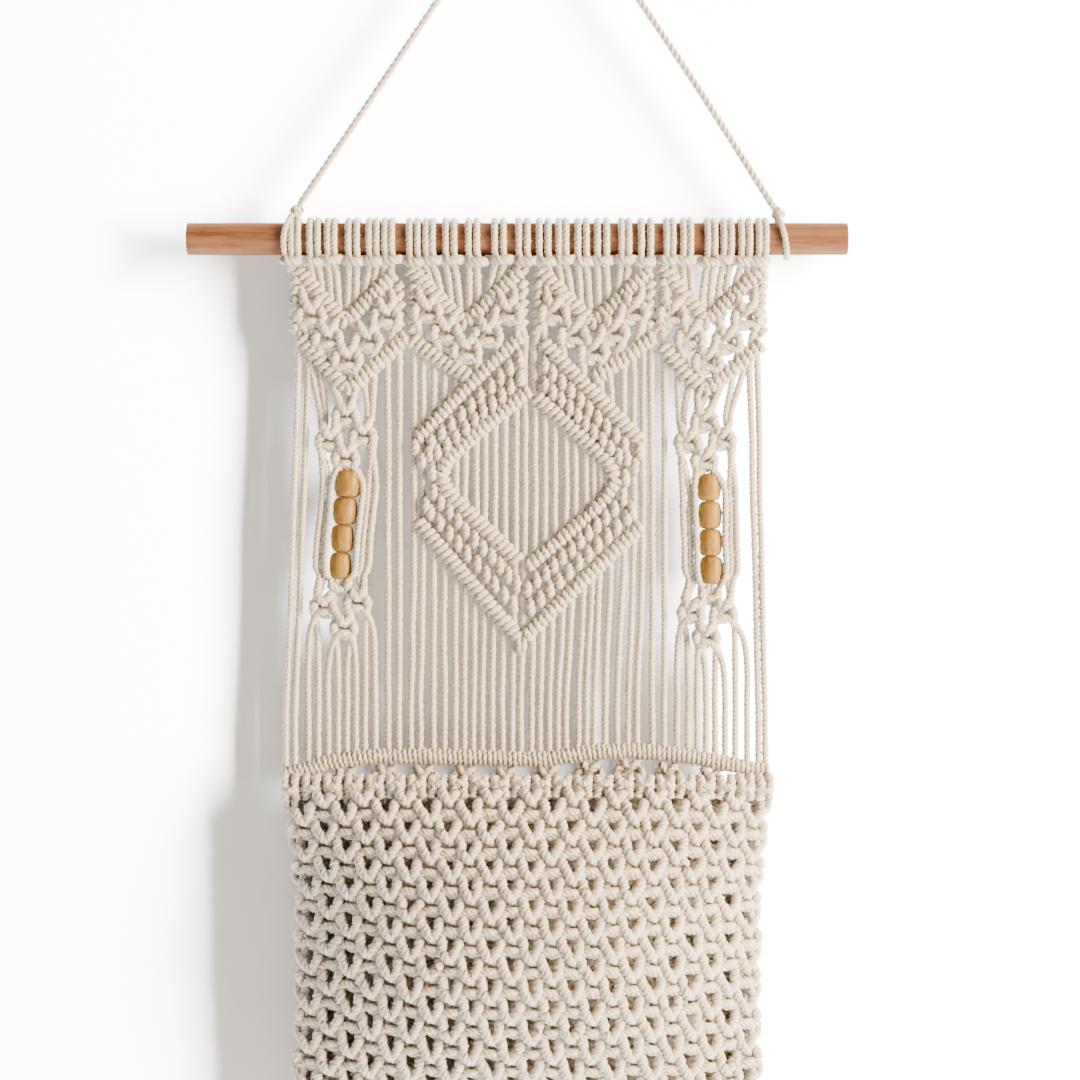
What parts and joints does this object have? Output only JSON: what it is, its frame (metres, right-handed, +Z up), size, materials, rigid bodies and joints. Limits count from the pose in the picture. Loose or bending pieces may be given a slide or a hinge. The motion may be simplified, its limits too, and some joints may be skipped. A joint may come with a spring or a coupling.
{
  "type": "macrame wall hanging with rod",
  "caption": "Cream cotton macrame wall hanging on a wooden rod: knotted zigzags, a diamond, beaded side motifs and a bulged net pocket at its foot.",
  "frame": {"origin": "on the underside of the hanging cord, where it lies over the hook on the wall", "axes": "+Z up, +X to the right seen from the front, +Y back towards the wall"},
  "size_m": [0.33, 0.056, 0.635],
  "materials": {
    "cotton_cord": "matt twisted cotton",
    "rod_wood": "satin, reddish brown",
    "bead_wood": "satin, golden"
  },
  "bodies": {
    "root": {"rod": "rod_wood", "hanging_cord": "cotton_cord", "hanger_knot_left": "cotton_cord", "hanger_knot_right": "cotton_cord", "knotted_panel": "cotton_cord", "pocket_back": "cotton_cord", "pocket_front": "cotton_cord", "bead_left_1": "bead_wood", "bead_left_2": "bead_wood", "bead_left_3": "bead_wood", "bead_left_4": "bead_wood", "bead_right_1": "bead_wood", "bead_right_2": "bead_wood", "bead_right_3": "bead_wood", "bead_right_4": "bead_wood"}
  },
  "joints": []
}
